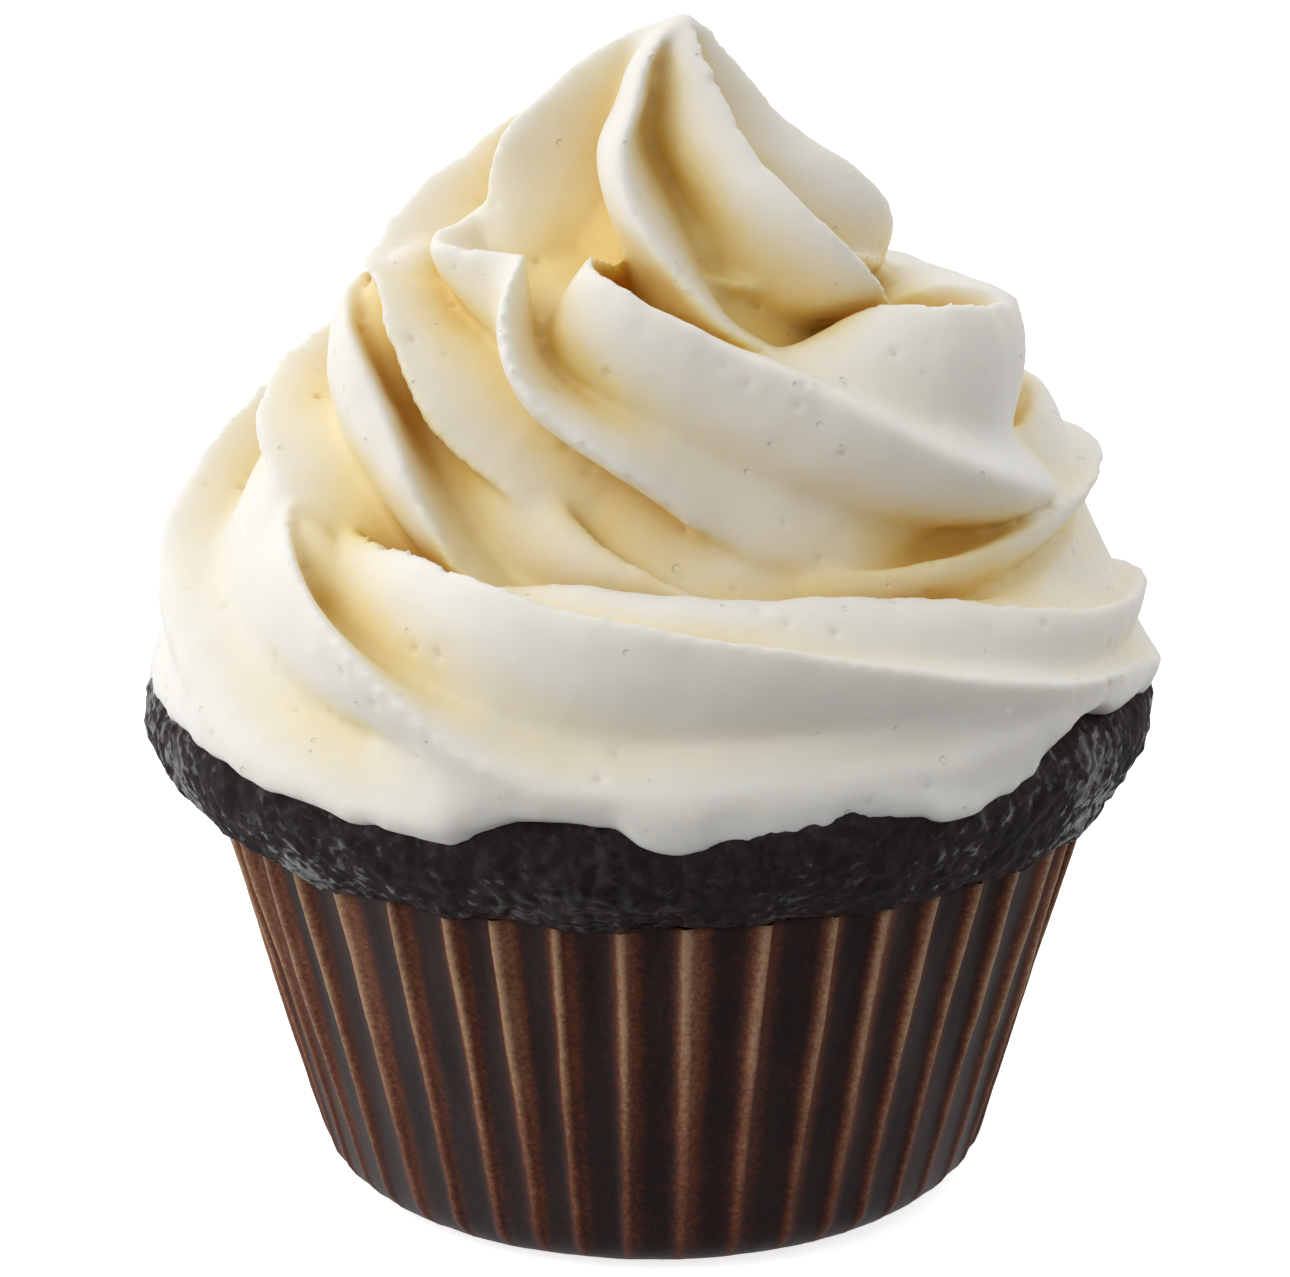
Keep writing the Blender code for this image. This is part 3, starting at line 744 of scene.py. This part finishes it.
def dome_cutter():
    """The crown, a little smaller, so that the buttercream sits into its crust."""
    profile = crown_profile()
    profile[:, 0] = np.where(profile[:, 0] > 1.0, profile[:, 0] - SEAT_DEPTH, profile[:, 0])
    profile[:, 1] -= SEAT_DEPTH
    mesh = turned_mesh("dome_cutter", profile, SEAT_SIDES, LIP_HEIGHT - SEAT_FOOT)
    set_points(mesh, uneven_crown(get_points(mesh), LIP_HEIGHT + 0.3))
    return add_object("dome_cutter", mesh)


def strands_mesh():
    """The turns, the peak, the squeezed strands and the core, all in one mesh."""
    body = bmesh.new()
    strands = [rope_rings(), peak_rings()] + [squeezed_rings(path) for path in SQUEEZED_PATHS]
    for rings, (low, high) in strands:
        body.from_mesh(grid_mesh("strand", rings, close_low=low, close_high=high))
    body.from_mesh(turned_mesh("core", np.array(CORE_PROFILE), CORE_SIDES, CROWN_RIM_HEIGHT))
    bmesh.ops.recalc_face_normals(body, faces=body.faces)
    mesh = bpy.data.meshes.new("swirl")
    body.to_mesh(mesh)
    body.free()
    return mesh


def build_buttercream():
    """The swirl: strands and core grown into one body, and seated on the crown."""
    swirl = add_object("buttercream", strands_mesh())
    merge = swirl.modifiers.new("merge_turns", "REMESH")
    merge.mode = "VOXEL"
    merge.voxel_size = VOXEL * MM
    settle = swirl.modifiers.new("settle", "SMOOTH")
    settle.factor = 0.5
    settle.iterations = SETTLE_ROUNDS
    add_relief(swirl, CREAM_RELIEF)
    mesh = apply_modifiers(swirl)
    set_points(mesh, add_pits(get_points(mesh), get_normals(mesh)))
    cutter = dome_cutter()
    seat = swirl.modifiers.new("seat_on_dome", "BOOLEAN")
    seat.operation = "DIFFERENCE"
    seat.solver = "MANIFOLD"
    seat.object = cutter
    mesh = apply_modifiers(swirl)
    bpy.data.objects.remove(cutter)
    triangles = sum(len(face.vertices) - 2 for face in mesh.polygons)
    lighten = swirl.modifiers.new("lighten", "DECIMATE")
    lighten.ratio = min(1.0, BUTTERCREAM_TRIANGLES / triangles)
    mesh = apply_modifiers(swirl)
    # Openness at each vertex, which the buttercream's colour turns into painted shade in its
    # grooves and hollows.
    free = openness(mesh, OPEN_RAYS)
    set_attribute(mesh, "openness", even_out(mesh, free))
    mesh.materials.clear()
    mesh.materials.append(vanilla_buttercream())
    mesh.shade_smooth()
    return swirl


# ----------------------------------------------------------------- materials

def vanilla_buttercream():
    """Vanilla buttercream: butter whipped with icing sugar, pushed through a nozzle.

    The eye sees a soft satin that lets light in: near white on the ridges, with tiny air holes.
    Butter yellow to amber in grooves and hollows is painted shade in the base colour, deeper where
    they are more closed in.
    """
    material, tree, shader = new_material("vanilla_buttercream")
    place = add_node(tree, "ShaderNodeTexCoord").outputs["Object"]
    free = add_node(tree, "ShaderNodeAttribute", {"attribute_name": "openness"}).outputs["Fac"]
    clouds = add_noise(tree, place, 9.0, 3.0)
    shifted = add_math(tree, "MULTIPLY_ADD", clouds, 0.14, -0.07)
    # Painted shade: the less open a point is, the further the ramp goes from near white to butter
    # yellow and amber. This stands in for the shade and warm light caught in grooves and hollows.
    # Clouds add random tone.
    painted_shade_level = add_math(tree, "ADD", free, shifted)
    ramp = add_node(tree, "ShaderNodeValToRGB", None, {"Fac": painted_shade_level})
    colour = set_ramp(ramp, [(0.02, "#cc8b2a"), (0.18, "#dfb04e"), (0.34, "#eacb78"),
                             (0.50, "#f1e0ac"), (0.68, "#f2ead4"), (0.88, "#f1eee7")])
    grain = add_noise(tree, place, 0.6, 3.0, 0.6)
    cells = add_node(tree, "ShaderNodeTexVoronoi", {"feature": "F1"}, {
        "Vector": place, "Scale": per_mm(1.7), "Randomness": 1.0})
    chance = add_node(tree, "ShaderNodeSeparateColor", None, {
        "Color": cells.outputs["Color"]}).outputs["Red"]
    hole = add_math(tree, "POWER", chance, 6.0)
    rim = add_math(tree, "MULTIPLY_ADD", hole, -0.20, cells.outputs["Distance"])
    pricks = add_node(tree, "ShaderNodeMapRange", {"interpolation_type": "SMOOTHSTEP"}, {
        "Value": rim, "From Min": -0.05, "From Max": 0.03}).outputs["Result"]
    relief = add_math(tree, "MULTIPLY_ADD", grain, 0.12, pricks)
    bump = add_node(tree, "ShaderNodeBump", None, {
        "Height": relief, "Strength": 0.7, "Distance": 0.25 * MM}).outputs["Normal"]
    rough = add_node(tree, "ShaderNodeMapRange", None, {
        "Value": clouds, "From Min": 0.3, "From Max": 0.7, "To Min": 0.42, "To Max": 0.58})
    tree.links.new(colour, shader.inputs["Base Color"])
    tree.links.new(rough.outputs["Result"], shader.inputs["Roughness"])
    tree.links.new(bump, shader.inputs["Normal"])
    shader.inputs["IOR"].default_value = 1.46
    shader.inputs["Subsurface Weight"].default_value = 0.4
    shader.inputs["Subsurface Radius"].default_value = (1.0, 0.78, 0.38)
    shader.inputs["Subsurface Scale"].default_value = 2.0 * MM
    return material


def chocolate_sponge():
    """Chocolate sponge: cocoa batter baked until its crust cracks into fine pebbles.

    The eye sees near-black crumb with a purple cast, and small glints in moist patches.
    """
    material, tree, shader = new_material("chocolate_sponge")
    place = add_node(tree, "ShaderNodeTexCoord").outputs["Object"]
    crumb = add_noise(tree, place, 1.6, 5.0, 0.65)
    ramp = add_node(tree, "ShaderNodeValToRGB", None, {"Fac": crumb})
    colour = set_ramp(ramp, [(0.30, "#150d0e"), (0.50, "#22171a"), (0.62, "#312529"),
                             (0.78, "#473a3e")])
    pebbles = add_node(tree, "ShaderNodeTexVoronoi", {"feature": "SMOOTH_F1"}, {
        "Vector": place, "Scale": per_mm(1.1), "Randomness": 1.0}).outputs["Distance"]
    patches = add_noise(tree, place, 9.0, 2.0)
    specks = add_noise(tree, place, 0.9, 3.0)
    moist = add_math(tree, "MULTIPLY_ADD", patches, 0.9, specks)
    rough = add_node(tree, "ShaderNodeMapRange", None, {
        "Value": moist, "From Min": 0.98, "From Max": 1.08, "To Min": 0.85, "To Max": 0.24})
    bump = add_node(tree, "ShaderNodeBump", {"invert": True}, {
        "Height": pebbles, "Strength": 0.5, "Distance": 0.30 * MM}).outputs["Normal"]
    tree.links.new(colour, shader.inputs["Base Color"])
    tree.links.new(rough.outputs["Result"], shader.inputs["Roughness"])
    tree.links.new(bump, shader.inputs["Normal"])
    shader.inputs["IOR"].default_value = 1.48
    shader.inputs["Specular IOR Level"].default_value = 0.32
    return material


def greaseproof_paper():
    """Greaseproof paper: dense brown pulp pressed into pleats between heated dies.

    The eye sees tan folds that stand free of the cake, each with a red-brown shoulder,
    and between them near-black valleys where the paper has taken up moisture and clings.
    """
    material, tree, shader = new_material("brown_greaseproof_paper")
    place = add_node(tree, "ShaderNodeTexCoord").outputs["Object"]
    fold = add_node(tree, "ShaderNodeAttribute", {"attribute_name": "fold"}).outputs["Fac"]
    fibres = add_noise(tree, place, 0.4, 4.0, 0.75)
    stains = add_noise(tree, place, 5.0, 3.0)
    speckled = add_math(tree, "MULTIPLY_ADD", fibres, 0.90, -0.45)
    blotched = add_math(tree, "MULTIPLY_ADD", stains, 0.30, -0.15)
    wear = add_math(tree, "ADD", speckled, blotched)
    shown = add_math(tree, "ADD", fold, wear)
    ramp = add_node(tree, "ShaderNodeValToRGB", None, {"Fac": shown})
    colour = set_ramp(ramp, [(0.0, "#241718"), (0.20, "#3a1f1a"), (0.48, "#663624"),
                             (0.76, "#8d6047"), (1.0, "#b59072")])
    rough = add_node(tree, "ShaderNodeMapRange", None, {
        "Value": shown, "From Min": 0.1, "From Max": 0.6, "To Min": 0.50, "To Max": 0.68})
    bump = add_node(tree, "ShaderNodeBump", None, {
        "Height": fibres, "Strength": 0.35, "Distance": 0.10 * MM}).outputs["Normal"]
    tree.links.new(colour, shader.inputs["Base Color"])
    tree.links.new(rough.outputs["Result"], shader.inputs["Roughness"])
    tree.links.new(bump, shader.inputs["Normal"])
    shader.inputs["IOR"].default_value = 1.5
    shader.inputs["Specular IOR Level"].default_value = 0.25
    return material


def white_studio_card():
    """White studio card: board with a matt white coat, lit from below as well.

    The eye sees an even white with no texture, under the cupcake and round it.
    """
    material, tree, shader = new_material("white_studio_card")
    shader.inputs["Base Color"].default_value = linear("#f4f4f4")
    shader.inputs["Roughness"].default_value = 0.9
    shader.inputs["Emission Color"].default_value = linear("#ffffff")
    shader.inputs["Emission Strength"].default_value = CARD_GLOW
    return material


# -------------------------------------------------------------------- studio

def build_studio():
    """Pale floor, a soft light from the front left, and a room with bright sides."""
    corners = [(x * FLOOR_REACH, y * FLOOR_REACH, 0.0)
               for x, y in ((-1, -1), (1, -1), (1, 1), (-1, 1))]
    floor_mesh = bpy.data.meshes.new("floor")
    floor_mesh.from_pydata(corners, [], [(0, 1, 2, 3)])
    floor = add_object("floor", floor_mesh, white_studio_card())
    floor.visible_diffuse = False
    floor.visible_glossy = False
    world = bpy.data.worlds.new("studio")
    world.use_nodes = True
    tree = world.node_tree
    tree.nodes.clear()
    direction = add_node(tree, "ShaderNodeTexCoord").outputs["Generated"]
    parts = add_node(tree, "ShaderNodeSeparateXYZ", None, {"Vector": direction})
    level = 0.0
    for axis, start, end, strength in ROOM_SIDES:
        side = add_node(tree, "ShaderNodeMapRange", {"interpolation_type": "SMOOTHSTEP"}, {
            "Value": parts.outputs[axis], "From Min": start, "From Max": end,
            "To Min": 0.0, "To Max": strength}).outputs["Result"]
        level = add_math(tree, "ADD", side, level)
    room = add_node(tree, "ShaderNodeBackground", None, {
        "Color": linear("#ffffff"), "Strength": level})
    add_node(tree, "ShaderNodeOutputWorld", None, {"Surface": room.outputs["Background"]})
    bpy.context.scene.world = world
    add_softbox("key_light", KEY_PLACE, KEY_WIDTH, KEY_POWER, "#fffdf8")


def add_softbox(name, place, width, power, code):
    """Square area light that faces the middle of the cupcake."""
    light = bpy.data.lights.new(name, "AREA")
    light.size = width
    light.energy = power
    light.color = linear(code)[:3]
    lamp = bpy.data.objects.new(name, light)
    bpy.context.scene.collection.objects.link(lamp)
    lamp.location = place
    aim = Vector(KEY_AIM) - lamp.location
    lamp.rotation_euler = aim.to_track_quat("-Z", "Y").to_euler()


def build_camera():
    """A long lens a little above the cupcake."""
    camera = bpy.data.cameras.new("camera")
    camera.sensor_width = CAMERA_SENSOR
    camera.lens = CAMERA_LENS
    camera.shift_x = CAMERA_SHIFT
    holder = bpy.data.objects.new("camera", camera)
    bpy.context.scene.collection.objects.link(holder)
    holder.location = CAMERA_PLACE
    aim = Vector(CAMERA_AIM) - holder.location
    holder.rotation_euler = aim.to_track_quat("-Z", "Y").to_euler()
    bpy.context.scene.camera = holder
    bpy.context.scene.view_settings.view_transform = "Standard"


# --------------------------------------------------------------------- build

build_camera()
build_studio()

PIECES = (
    (build_case, "paper_case", "greaseproof_paper"),
    (build_cake, "cake", "chocolate_sponge"),
    (build_buttercream, "buttercream_swirl", "vanilla_buttercream"),
)
for build, node, slot in PIECES:
    piece = build()
    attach(piece, "root")
    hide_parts(node)
